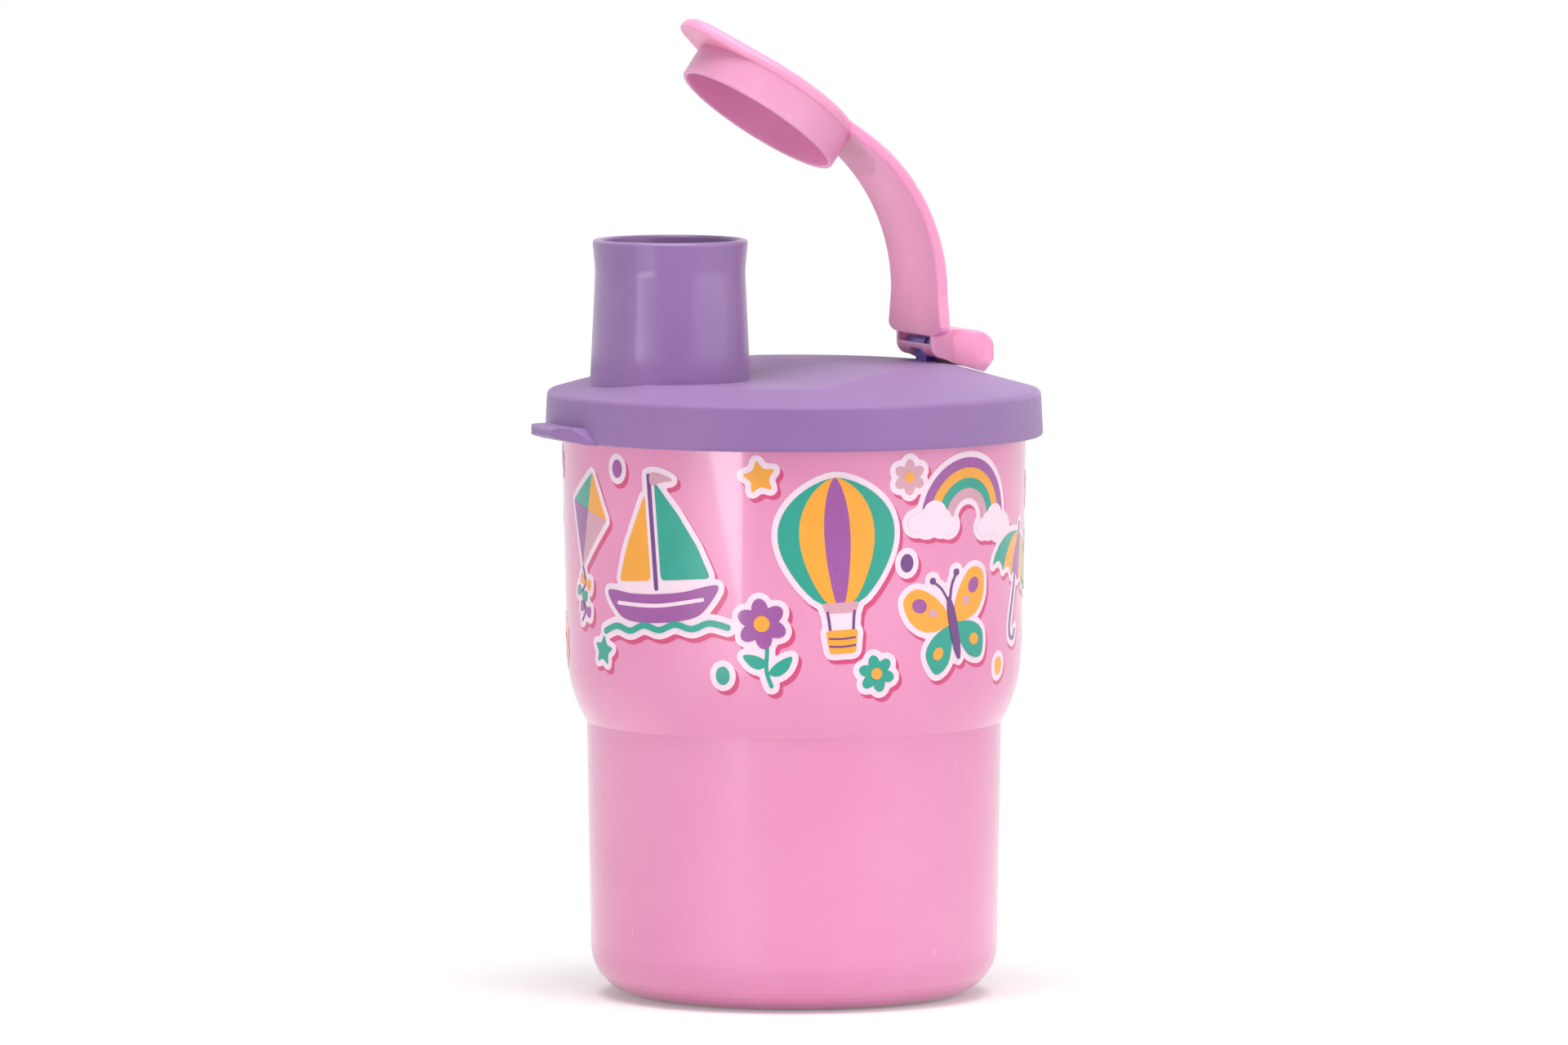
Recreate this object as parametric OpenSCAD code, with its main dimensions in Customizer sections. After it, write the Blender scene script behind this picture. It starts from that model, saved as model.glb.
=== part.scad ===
// Child's drinking cup with a press-on spout lid and a flip cap, in millimetres.
// +Z is up and the origin is the centre of the base. The spout is toward -X and the hinge toward +X.
// The flip cap is drawn open, as it stands when its lever rests on the slope of the lid.

/* [Cup] */
// Height of the cup's rim above the table
cup_h = 103; // [90:0.5:120]
// Outer diameter of the cup's wall at the rim
cup_rim_d = 80.4; // [79:0.1:90]
// How much smaller the wall's radius is at the shoulder's curve than at the rim
upper_taper = 1; // [0.2:0.1:2]
// How much smaller the wall's radius is in the crease under the shoulder than at the shoulder's curve
shoulder_step = 3.4; // [2:0.1:5]
// How much smaller the grip's radius is at its bottom than in the crease
grip_taper = 0.55; // [0.2:0.05:3]
// Height of the crease between the grip and the shoulder
crease_z = 47.5; // [35:0.5:60]
// Radius of the shoulder's curve, seen from the side
shoulder_curve_r = 23; // [15:0.5:30]
// Radius of the rounded bottom edge
base_round_r = 9; // [5:0.5:14]
// Thickness of the cup's wall and floor
cup_wall = 1.6; // [1.2:0.1:2.2]
// Depth of the shallow hollow under the base
base_hollow = 1; // [0.5:0.1:2]
// Width of the flat ring that the cup stands on
foot_ring_w = 4; // [2:0.5:8]
// How far the bead around the rim stands out from the wall
bead_out = 1; // [0.6:0.1:1.6]
// Height of the bead around the rim
bead_h = 3; // [2:0.1:4]

/* [Lid] */
// Thickness of the lid's top and skirt
lid_wall = 1.5; // [1.2:0.1:2]
// Height of the skirt that goes around the cup's rim
skirt_h = 7.7; // [6:0.1:12]
// How much smaller the skirt's radius is at its top than at its lower edge
skirt_draft = 0.4; // [0.1:0.05:0.8]
// Rounding of the lid's upper edge
lid_edge_r = 1; // [0.5:0.1:1.4]
// Height of the slope between the lid's edge and its flat top
slope_rise = 4.4; // [3:0.05:6]
// Diameter of the lid's flat top
flat_top_d = 53; // [50:0.5:60]
// How far the shelf that the spout stands on lies below the flat top
shelf_drop = 2; // [1:0.1:2.4]
// Length of the ramp between the shelf and the flat top
ramp_run = 14; // [10:1:24]
// Radius that softens the edge of the flat top
crest_r = 14; // [4:1:20]
// Depth of the sealing ring that goes into the cup
plug_depth = 5; // [3:0.1:8]
// Thickness of the sealing ring
plug_wall = 1.4; // [1:0.1:2]

/* [Pull tab] */
// How far the tab stands out from the skirt
tab_out = 4.2; // [3:0.1:8]
// Width of the tab where it leaves the skirt
tab_root_w = 22; // [16:0.5:30]
// Width of the tab's flat upper side
tab_top_w = 13; // [8:0.5:15]
// Width of the tab at its rounded tip
tab_tip_w = 11; // [8:0.5:15]
// Thickness of the tab at the skirt
tab_root_t = 2.7; // [2:0.1:4]
// Thickness of the tab at its tip
tab_tip_t = 1.6; // [1.2:0.1:2]
// Height that the underside of the tab rises by toward its tip
tab_curl = 1.1; // [0.5:0.1:2]

/* [Spout] */
// Distance from the cup's axis to the spout's axis
spout_offset = 23.2; // [22:0.1:24]
// Height of the spout above the lid's flat top
spout_h = 22.2; // [16:0.1:30]
// Outer diameter of the spout's lip
lip_d = 26.8; // [22:0.1:27.5]
// Outer diameter at the waist under the lip
waist_d = 25.8; // [20:0.1:26]
// Outer diameter of the spout at the lid
spout_base_d = 27.8; // [24:0.1:28.5]
// Distance from the top of the lip down to the waist
waist_drop = 5.4; // [3:0.1:9]
// Thickness of the spout's wall
spout_wall = 1.5; // [1.2:0.1:2]

/* [Flip cap] */
// Thickness of the cap's disc
disc_t = 2.3; // [2.2:0.1:3]
// Depth of the cap's skirt below the disc
cap_skirt_h = 5.6; // [4:0.1:6]
// Thickness of the cap's skirt
cap_wall = 0.8; // [0.7:0.05:1.2]
// How far the cap's axis lies beyond the spout's axis, so that the skirt swings clear of the lip
cap_shift = 0.5; // [0.4:0.05:0.6]
// How far the disc stands out around the skirt
flange_out = 0.2; // [0.1:0.1:1.5]
// How far the thumb tip stands out from the round of the disc
thumb_out = 5.4; // [3:0.1:8]
// Radius of the thumb tip, seen from above
thumb_r = 7.5; // [4:0.5:10]
// Rounding of the disc's upper edge
disc_edge_r = 1.5; // [0.5:0.1:1.8]

/* [Strap and lever] */
// Angle between the closed cap and the open cap
open_angle = 35; // [25:1:45]
// Width of the strap
strap_w = 20.6; // [16:0.2:26]
// Width of the strap where it comes down on the hinge
strap_foot_w = 22.6; // [18:0.2:28]
// Thickness of the strap
strap_t = 2; // [1.6:0.1:2.2]
// Radius of the strap's bend, along the middle of its thickness
strap_bend_r = 33; // [28:0.5:36]
// Rounding along the strap's edges
strap_edge_r = 0.6; // [0.3:0.05:0.7]
// How far the lever reaches past the hinge axis
lever_reach = 8.6; // [8:0.1:10]
// Width of the lever
lever_w = 21; // [20:0.2:24]
// Rounding of the lever's end, seen from the side
lever_end_r = 4.1; // [1.5:0.1:4.2]

/* [Hinge] */
// Distance from the cup's axis to the hinge axis
hinge_offset = 24.9; // [23:0.1:25]
// Height of the hinge axis above the lid's flat top
hinge_h = 3.05; // [2.9:0.05:4]
// Radius of the pins
pin_r = 1; // [0.8:0.05:1.1]
// Radius of the knuckles around the pins
knuckle_r = 2.25; // [2.2:0.05:2.5]
// Width of the post between the knuckles
post_w = 4.6; // [4:0.2:6]
// Thickness of the post below its round head
post_t = 1.8; // [1.4:0.1:2]
// Length of each pin beside the post
pin_len = 4.2; // [3:0.1:5]
// Width of the slit that lets a knuckle snap over its pin
snap_slit = 1.5; // [1:0.1:1.8]

/* [Clearances] */
// Gap around the rim's bead inside the lid's skirt
skirt_gap = 0.3; // [0.2:0.05:0.6]
// Gap between the sealing ring and the cup's wall
plug_gap = 0.25; // [0.15:0.05:0.5]
// Gap between the lid and the top of the cup's rim
seat_gap = 0.2; // [0.1:0.05:0.4]
// Gap between the lip and the cap's skirt when the cap is closed
cap_gap = 0.85; // [0.8:0.05:1.4]
// Gap between the top of the lip and the cap's disc when the cap is closed
cap_top_gap = 0.3; // [0.2:0.05:0.6]
// Radial gap between a pin and its knuckle
pin_gap = 0.06; // [0.03:0.01:0.1]
// Gap beside and around the post
post_gap = 0.3; // [0.25:0.05:0.5]
// Gap between the open lever and the lid's slope
stop_gap = 0.3; // [0.2:0.05:0.6]

/* [Hidden] */
$fn = 96;
cup_pink = [0.94, 0.62, 0.77];
lid_purple = [0.66, 0.52, 0.75];
cap_pink = [0.93, 0.62, 0.76];

// Cup: the shoulder's curve is tangent to the upper wall and ends in the crease
shoulder_r = cup_rim_d / 2 - upper_taper;
shoulder_sweep = acos(1 - shoulder_step / shoulder_curve_r);
shoulder_z = crease_z + shoulder_curve_r * sin(shoulder_sweep);
shoulder_centre = [shoulder_r - shoulder_curve_r, shoulder_z];
inner_curve_r = shoulder_curve_r - cup_wall;
inner_sweep = acos(1 - shoulder_step / inner_curve_r);
floor_z = base_hollow + cup_wall;
flat_base_r = shoulder_r - shoulder_step - grip_taper - base_round_r;
rim_edge_r = 0.5;
bead_edge_r = 0.9;
bead_r = cup_rim_d / 2 + bead_out;

// Lid: it hangs on the rim, and its skirt and sealing ring follow the cup
seat_z = cup_h + seat_gap;
lid_rim_z = seat_z + lid_wall;
skirt_z = lid_rim_z - skirt_h;
skirt_in_r = bead_r + skirt_gap;
lid_r = skirt_in_r + lid_wall;
lid_top_r = lid_r - skirt_draft;
plug_z = seat_z - plug_depth;
plug_r = wall_r(plug_z) - cup_wall - plug_gap;
flat_top_r = flat_top_d / 2;
top_z = lid_rim_z + slope_rise;
skirt_foot_r = 0.5;
shelf_z = top_z - shelf_drop;
shelf_curve_r = 40;
plug_edge_r = plug_wall * 0.4;
tab_edge_r = tab_tip_t * 0.45;
tab_tip_r = tab_tip_w * 0.42;
tab_side_r = 2;

// Spout: its tube ends level with the underside of the lid's slope at its outer side
lip_z = top_z + spout_h;
spout_bore_r = spout_base_d / 2 - spout_wall;
spout_foot_z = slope_z(spout_offset + spout_base_d / 2) - lid_wall;
waist_z = lip_z - waist_drop;
waist_curve_r = 12;
lip_edge_r = 0.6;

// Flip cap, in its closed place over the spout
cap_x = -spout_offset - cap_shift;
cap_in_r = lip_d / 2 + cap_gap;
cap_out_r = cap_in_r + cap_wall;
flange_r = cap_out_r + flange_out;
disc_z = lip_z + cap_top_gap;
disc_top = disc_z + disc_t;
thumb_x = cap_x - flange_r - thumb_out + thumb_r;
cap_mouth_z = disc_z - cap_skirt_h;
mouth_edge_r = 0.3;
disc_foot_r = 0.3;

// Hinge and strap: the foot of the strap stands upright in front of the hinge axis when the cap is open
hinge = [hinge_offset, 0, top_z + hinge_h];
post_step = 0.35;
post_r = pin_r + post_step;
knuckle_in = post_w / 2 + post_gap;
bore_end = post_w / 2 + pin_len + post_gap;
knuckle_end_t = 0.6;
knuckle_out = bore_end + knuckle_end_t;
strap_front = knuckle_r;
strap_lean = 90 - open_angle;
strap_sink = 0.1;
strap_mid_z = disc_top - strap_t / 2 - strap_sink;
strap_set = strap_front - strap_t / 2;
foot_line = [hinge.x - strap_set * cos(open_angle), hinge.z - strap_set * sin(open_angle)];
bend_z = strap_mid_z - strap_bend_r;
bend_x = foot_line.x
    - (strap_bend_r - (foot_line.y - bend_z) * cos(strap_lean)) / sin(strap_lean);
bend_end = [bend_x + strap_bend_r * sin(strap_lean), bend_z + strap_bend_r * cos(strap_lean)];
foot_run = norm(foot_line - bend_end);
foot_flare = 9;
foot_lift = post_r + post_gap;
foot_corner = [4.5, 1.6];
foot_sweep = 80;
lever_lift = 0.5;
lever_top = knuckle_r + lever_lift;
lever_end_t = 4.8;
lever_heel_r = 1.5;
lever_undercut = 2.6;
lever_corner_r = 1.2;
lever_neck = knuckle_r - lever_lift;
slit_lean = 25;

// Radius of the cup's upper wall at height z, outside
function wall_r(z) = shoulder_r + upper_taper * (z - shoulder_z) / (cup_h - shoulder_z);

// Height of the lid's slope at radius r, before its edges are softened
function slope_z(r) = lid_rim_z + slope_rise * (lid_top_r - r) / (lid_top_r - flat_top_r);

function unit(v) = v / norm(v);

// Points of an arc about a centre
function arc(centre, r, from, to, steps = 12) =
    [for (i = [0:steps]) let (a = from + (to - from) * i / steps) centre + r * [cos(a), sin(a)]];

// Arc that rounds the corner q between the points p and s
function corner(p, q, s, r, steps = 6) =
    let (u = unit(p - q), w = unit(s - q), half = acos(u * w) / 2)
    let (centre = q + unit(u + w) * r / sin(half))
    let (a = q + u * r / tan(half) - centre, b = q + w * r / tan(half) - centre)
    let (from = atan2(a.y, a.x), turn = atan2(b.y, b.x) - from)
    arc(centre, r, from, from + (turn > 180 ? turn - 360 : turn < -180 ? turn + 360 : turn), steps);

// Closed outline from points [x, y] or [x, y, rounding]
function rounded(path) =
    let (n = len(path), flat = [for (p = path) [p.x, p.y]])
    [for (i = [0:n - 1])
        each len(path[i]) < 3 ? [flat[i]] : corner(flat[(i + n - 1) % n], flat[i], flat[(i + 1) % n], path[i][2])];

// Solid of an outline drawn in the XZ plane, centred on Y
module side_slab(width, outline) {
    rotate([90, 0, 0])
        linear_extrude(width, center = true)
            polygon(outline);
}

// Solid between rings of as many points each, joined one to the next
module skin(rings) {
    n = len(rings[0]);
    last = (len(rings) - 1) * n;
    sides = [for (i = [0:len(rings) - 2], j = [0:n - 1])
        let (a = i * n + j, b = i * n + (j + 1) % n)
        each [[a, b + n, b], [a, a + n, b + n]]];
    ends = [[for (j = [0:n - 1]) j], [for (j = [0:n - 1]) last + n - 1 - j]];
    polyhedron([for (r = rings) each r], concat(sides, ends));
}

// Cylinder along Y between two places
module y_rod(r, from, to) {
    translate([0, to, 0])
        rotate([90, 0, 0])
            cylinder(r = r, h = to - from);
}

// Turns a closed cap open about the hinge
module opened() {
    translate(hinge)
        rotate([0, open_angle, 0])
            translate(-hinge)
                children();
}

module cup() {
    outside = concat(
        [[0, base_hollow], [flat_base_r - foot_ring_w - base_hollow, base_hollow]],
        [[flat_base_r - foot_ring_w, 0]],
        arc([flat_base_r, base_round_r], base_round_r, -90, 0),
        arc(shoulder_centre, shoulder_curve_r, -shoulder_sweep, 0, 16)
    );
    rim = [
        [wall_r(cup_h - bead_h - bead_out), cup_h - bead_h - bead_out],
        [bead_r, cup_h - bead_h, bead_edge_r],
        [bead_r, cup_h, bead_edge_r],
        [cup_rim_d / 2 - cup_wall, cup_h, rim_edge_r]
    ];
    inside_round_r = base_round_r - cup_wall;
    inside = concat(
        arc(shoulder_centre, inner_curve_r, 0, -inner_sweep, 16),
        arc([flat_base_r, floor_z + inside_round_r], inside_round_r, 0, -90),
        [[0, floor_z]]
    );
    color(cup_pink)
        rotate_extrude()
            polygon(rounded(concat(outside, rim, inside)));
}

// Everything below the lid's top along X: the shelf under the spout, and the ramp that passes the flat top
module below_top(drop) {
    ramp_x = -spout_offset + spout_base_d / 2;
    over_x = ramp_x + 2 * ramp_run;
    outline = [
        [-2 * lid_r, plug_z - skirt_h],
        [2 * lid_r, plug_z - skirt_h],
        [2 * lid_r, top_z + shelf_drop],
        [over_x, top_z + shelf_drop],
        [ramp_x, shelf_z, shelf_curve_r],
        [-2 * lid_r, shelf_z]
    ];
    translate([0, 0, -drop])
        side_slab(4 * lid_r, rounded(outline));
}

module lid_shell() {
    plug_in_r = plug_r - plug_wall;
    outside = [
        [0, skirt_z],
        [lid_r, skirt_z, skirt_foot_r],
        [lid_top_r, lid_rim_z, lid_edge_r],
        [flat_top_r, top_z, crest_r],
        [0, top_z]
    ];
    inside = [
        [0, skirt_z - lid_wall],
        [skirt_in_r, skirt_z - lid_wall],
        [skirt_in_r, seat_z],
        [plug_r, seat_z],
        [plug_r, plug_z, plug_edge_r],
        [plug_in_r, plug_z, plug_edge_r],
        [plug_in_r, slope_z(plug_in_r) - lid_wall],
        [flat_top_r, top_z - lid_wall, crest_r],
        [0, top_z - lid_wall]
    ];
    difference() {
        intersection() {
            rotate_extrude()
                polygon(rounded(outside));
            below_top(0);
        }
        intersection() {
            rotate_extrude()
                polygon(rounded(inside));
            below_top(lid_wall);
        }
    }
}

module spout() {
    outline = [
        [spout_base_d / 2, spout_foot_z],
        [waist_d / 2, waist_z, waist_curve_r],
        [lip_d / 2, lip_z, lip_edge_r],
        [lip_d / 2 - spout_wall, lip_z, lip_edge_r],
        [waist_d / 2 - spout_wall, waist_z, waist_curve_r],
        [spout_bore_r, spout_foot_z]
    ];
    translate([-spout_offset, 0, 0])
        rotate_extrude()
            polygon(rounded(outline));
}

module pull_tab() {
    tip_x = lid_r + tab_out;
    side = [
        [0, skirt_z],
        [-lid_r, skirt_z],
        [-tip_x, skirt_z + tab_curl, tab_edge_r],
        [-tip_x, skirt_z + tab_curl + tab_tip_t, tab_edge_r],
        [-lid_r, skirt_z + tab_root_t],
        [0, skirt_z + tab_root_t]
    ];
    section = [
        [-tab_root_w / 2, skirt_z],
        [tab_root_w / 2, skirt_z],
        [tab_top_w / 2, skirt_z + tab_root_t + tab_curl, tab_side_r],
        [-tab_top_w / 2, skirt_z + tab_root_t + tab_curl, tab_side_r]
    ];
    plan = [
        [0, -tab_root_w / 2],
        [-lid_r * cos(asin(tab_root_w / 2 / lid_r)), -tab_root_w / 2],
        [-tip_x, -tab_tip_w / 2, tab_tip_r],
        [-tip_x, tab_tip_w / 2, tab_tip_r],
        [-lid_r * cos(asin(tab_root_w / 2 / lid_r)), tab_root_w / 2],
        [0, tab_root_w / 2]
    ];
    difference() {
        intersection() {
            side_slab(tab_root_w, rounded(side));
            rotate([90, 0, 90])
                linear_extrude(2 * tip_x, center = true)
                    polygon(rounded(section));
            linear_extrude(lid_rim_z)
                polygon(rounded(plan));
        }
        cylinder(r = lid_r - lid_wall / 2, h = cup_h);
    }
}

module hinge_post() {
    translate([hinge.x - post_t / 2, -post_w / 2, top_z - lid_wall / 2])
        cube([post_t, post_w, hinge_h + lid_wall / 2]);
    translate(hinge) {
        y_rod(post_r, -post_w / 2, post_w / 2);
        y_rod(pin_r, -post_w / 2 - pin_len, post_w / 2 + pin_len);
    }
}

module lid() {
    color(lid_purple) {
        difference() {
            lid_shell();
            translate([-spout_offset, 0, seat_z])
                cylinder(r = spout_bore_r, h = lip_z - seat_z);
        }
        spout();
        pull_tab();
        hinge_post();
    }
}

// Outline of the disc at height z, drawn in from its full size by inset
function disc_ring(z, inset) =
    let (big_r = flange_r - inset, small_r = thumb_r - inset)
    let (side = acos((big_r - small_r) / (cap_x - thumb_x)))
    [for (p = concat(arc([cap_x, 0], big_r, side - 180, 180 - side, 48),
                     arc([thumb_x, 0], small_r, 180 - side, 180 + side, 20)))
        [p.x, p.y, z]];

// Disc of the cap with its thumb tip, its upper edge rounded
module cap_disc() {
    rounding = arc([disc_edge_r, disc_t - disc_edge_r], disc_edge_r, 180, 90, 5);
    skin([for (p = concat([[disc_foot_r, 0], [0, disc_foot_r]], rounding))
        disc_ring(disc_z + p.y, p.x)]);
}

module cap_skirt() {
    outline = [
        [cap_in_r, cap_mouth_z, mouth_edge_r],
        [cap_out_r, cap_mouth_z, mouth_edge_r],
        [cap_out_r, disc_z + disc_t / 2],
        [cap_in_r, disc_z + disc_t / 2]
    ];
    translate([cap_x, 0, 0])
        rotate_extrude()
            polygon(rounded(outline));
}

// Stations along the strap: [x, z, lean below level, half of the width]
function strap_stations() =
    let (half_w = strap_w / 2, foot_w = strap_foot_w / 2)
    let (end = foot_run - foot_lift)
    let (along = function (d, w) [bend_end.x + d * cos(strap_lean), bend_end.y - d * sin(strap_lean), strap_lean, w])
    concat(
        [[cap_x, strap_mid_z, 0, half_w]],
        [for (p = arc([0, 0], 1, 0, strap_lean, 14))
            let (lean = atan2(p.y, p.x))
            [bend_x + strap_bend_r * sin(lean), bend_z + strap_bend_r * cos(lean), lean, half_w]],
        [for (i = [1:2]) along((end - foot_corner.y) * i / 3, half_w + (foot_w - half_w) * i / 3)],
        [for (p = arc([0, 0], 1, 0, foot_sweep, 4))
            along(end - foot_corner.y * (1 - p.y), foot_w - foot_corner.x * (1 - p.x))]
    );

module strap() {
    h = strap_t / 2;
    r = strap_edge_r;
    skin([for (s = strap_stations())
        [for (q = rounded([[-s[3], -h, r], [s[3], -h, r], [s[3], h, r], [-s[3], h, r]]))
            [s.x + q.y * sin(s.z), q.x, s.y + q.y * cos(s.z)]]]);
}

// Knuckles and lever, drawn open about the hinge axis
module lever() {
    tip_z = slope_z(hinge.x + lever_reach) - hinge.z;
    side = [
        [-strap_front, 0],
        [-strap_front, lever_top],
        [lever_reach, lever_top, lever_end_r],
        [lever_reach, lever_top - lever_end_t, lever_heel_r],
        [lever_reach - lever_undercut, tip_z],
        [0, -knuckle_r]
    ];
    plan = [
        [-2 * knuckle_r, -knuckle_out],
        [lever_neck, -knuckle_out],
        [lever_neck + lever_w / 2 - knuckle_out, -lever_w / 2],
        [lever_reach, -lever_w / 2, lever_corner_r],
        [lever_reach, lever_w / 2, lever_corner_r],
        [lever_neck + lever_w / 2 - knuckle_out, lever_w / 2],
        [lever_neck, knuckle_out],
        [-2 * knuckle_r, knuckle_out]
    ];
    intersection() {
        union() {
            side_slab(lever_w, rounded(side));
            y_rod(knuckle_r, -knuckle_out, knuckle_out);
        }
        translate([0, 0, -4 * knuckle_r])
            linear_extrude(8 * knuckle_r)
                polygon(rounded(plan));
    }
}

// Room for the pins, the snap slits, and the post in every place of the cap, about the hinge axis
module hinge_room() {
    room_t = post_t / 2 + post_gap;
    reach = 3 * knuckle_r;
    turn = [[cos(open_angle), sin(open_angle)], [-sin(open_angle), cos(open_angle)]];
    y_rod(post_r + post_gap, -knuckle_in, knuckle_in);
    side_slab(2 * knuckle_in, [[room_t, 0], [room_t, -reach], turn * [-room_t, -reach], turn * [-room_t, 0]]);
    y_rod(pin_r + pin_gap, -bore_end, bore_end);
    rotate([0, slit_lean, 0])
        translate([-reach, -bore_end, -snap_slit / 2])
            cube([reach, 2 * bore_end, snap_slit]);
}

// Form of the lid's top, raised by the stop's gap
module stop_form() {
    translate([0, 0, stop_gap])
        rotate_extrude()
            polygon([[0, skirt_z], [lid_top_r, skirt_z], [lid_top_r, lid_rim_z], [flat_top_r, top_z], [0, top_z]]);
}

module flip_cap() {
    color(cap_pink) {
        opened() {
            cap_disc();
            cap_skirt();
            strap();
        }
        difference() {
            translate(hinge)
                lever();
            translate(hinge)
                hinge_room();
            stop_form();
        }
    }
}

cup();
lid();
flip_cap();
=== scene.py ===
import math

import bmesh
import bpy
import numpy as np
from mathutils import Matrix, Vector
from mathutils.geometry import delaunay_2d_cdt


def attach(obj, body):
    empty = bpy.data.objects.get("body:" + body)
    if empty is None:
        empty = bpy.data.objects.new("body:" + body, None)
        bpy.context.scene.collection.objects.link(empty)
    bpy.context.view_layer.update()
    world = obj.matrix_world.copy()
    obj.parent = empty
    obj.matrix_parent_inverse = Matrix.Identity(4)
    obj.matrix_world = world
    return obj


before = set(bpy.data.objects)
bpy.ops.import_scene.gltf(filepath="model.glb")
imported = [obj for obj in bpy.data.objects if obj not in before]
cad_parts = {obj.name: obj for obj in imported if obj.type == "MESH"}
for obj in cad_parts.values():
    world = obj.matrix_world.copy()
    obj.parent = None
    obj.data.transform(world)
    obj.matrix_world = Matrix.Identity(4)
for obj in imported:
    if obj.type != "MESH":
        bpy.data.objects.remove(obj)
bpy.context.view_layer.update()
mm = 0.001
print("frame loaded:", sorted(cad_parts))


def fromScreen(r, g, b):  # screen colour, 0 to 255, to the linear colour that shaders take
    def part(v):
        v = v / 255
        return v / 12.92 if v <= 0.04045 else ((v + 0.055) / 1.055) ** 2.4
    return part(r), part(g), part(b), 1.0


# camera, all lengths in mm
shot = {
    "turn": 23.5,        # degrees round from the front toward the spout
    "away": 2384.6,      # along the floor
    "height": 271.7,
    "aimHeight": 81.7,
    "aimLeft": 1.73,
    "lens": 318,
    "sensor": 36,
}
turn = math.radians(shot["turn"])
toCamera = Vector((-math.sin(turn), -math.cos(turn), 0))
toRight = Vector((math.cos(turn), -math.sin(turn), 0))


def outward(a):  # level direction, a radians round from the camera, right positive
    return toCamera * math.cos(a) + toRight * math.sin(a)


def addCamera():
    data = bpy.data.cameras.new("photoCamera")
    data.sensor_width = shot["sensor"]
    data.lens = shot["lens"]
    data.clip_start, data.clip_end = 0.05, 60
    camera = bpy.data.objects.new("photoCamera", data)
    camera.location = toCamera * shot["away"] * mm + Vector((0, 0, shot["height"] * mm))
    aim = Vector((0, 0, shot["aimHeight"] * mm)) - toRight * shot["aimLeft"] * mm
    camera.rotation_euler = (aim - camera.location).to_track_quat("-Z", "Y").to_euler()
    bpy.context.scene.collection.objects.link(camera)
    bpy.context.scene.camera = camera


addCamera()
bpy.context.scene.view_settings.view_transform = "Standard"
print("camera placed")


# node helpers
def newMaterial(name):
    material = bpy.data.materials.new(name)
    material.use_nodes = True
    tree = material.node_tree
    tree.nodes.clear()
    return material, tree


def addNode(tree, kind, place=(0, 0), **settings):
    node = tree.nodes.new(kind)
    node.location = place
    for key, value in settings.items():
        setattr(node, key, value)
    return node


def setInputs(node, **values):
    for key, value in values.items():
        node.inputs[key.replace("_", " ")].default_value = value


# moulded plastic: slow clouding, fine grain and faint handling marks, as 0 to 1 values
moulded = {
    "ior": 1.49,
    "scales": {"Cloud Scale": 40.0, "Grain Scale": 1800.0, "Mark Scale": 260.0},   # where none are set
    "cloudFrom": 0.35, "cloudTo": 0.65,   # noise that is all deep, and all pale
    "markTurn": (0.5, 0.2, 0.7),          # radians
    "markStretch": (1, 9, 1),
    "markFrom": 0.55, "markTo": 0.75,     # noise that leaves no mark, and a full one
}


def mouldedGroup():
    group = bpy.data.node_groups.new("mouldedSurface", "ShaderNodeTree")
    for name, start in moulded["scales"].items():
        socket = group.interface.new_socket(name, in_out="INPUT", socket_type="NodeSocketFloat")
        socket.default_value = start
    for name in ("Cloud", "Grain", "Marks"):
        group.interface.new_socket(name, in_out="OUTPUT", socket_type="NodeSocketFloat")
    ins = addNode(group, "NodeGroupInput", (-800, 0))
    outs = addNode(group, "NodeGroupOutput", (500, 0))
    where = addNode(group, "ShaderNodeTexCoord", (-800, 300))
    cloud = addNode(group, "ShaderNodeTexNoise", (-300, 300))
    setInputs(cloud, Detail=3.0, Roughness=0.55)
    grain = addNode(group, "ShaderNodeTexNoise", (-300, 0))
    setInputs(grain, Detail=2.0, Roughness=0.6)
    stretch = addNode(group, "ShaderNodeMapping", (-550, -300))
    setInputs(stretch, Rotation=moulded["markTurn"], Scale=moulded["markStretch"])
    marks = addNode(group, "ShaderNodeTexNoise", (-300, -300))
    setInputs(marks, Detail=4.0, Roughness=0.7)
    for name, node in zip(moulded["scales"], (cloud, grain, marks)):
        group.links.new(ins.outputs[name], node.inputs["Scale"])
    group.links.new(where.outputs["Object"], cloud.inputs["Vector"])
    group.links.new(where.outputs["Object"], grain.inputs["Vector"])
    group.links.new(where.outputs["Object"], stretch.inputs["Vector"])
    group.links.new(stretch.outputs["Vector"], marks.inputs["Vector"])
    for name, node in (("Cloud", cloud), ("Grain", grain)):
        group.links.new(node.outputs["Fac"], outs.inputs[name])
    pick = addNode(group, "ShaderNodeMapRange", (100, -300))
    setInputs(pick, From_Min=moulded["markFrom"], From_Max=moulded["markTo"])
    group.links.new(marks.outputs["Fac"], pick.inputs["Value"])
    group.links.new(pick.outputs["Result"], outs.inputs["Marks"])
    return group


mouldedSurface = mouldedGroup()


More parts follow.
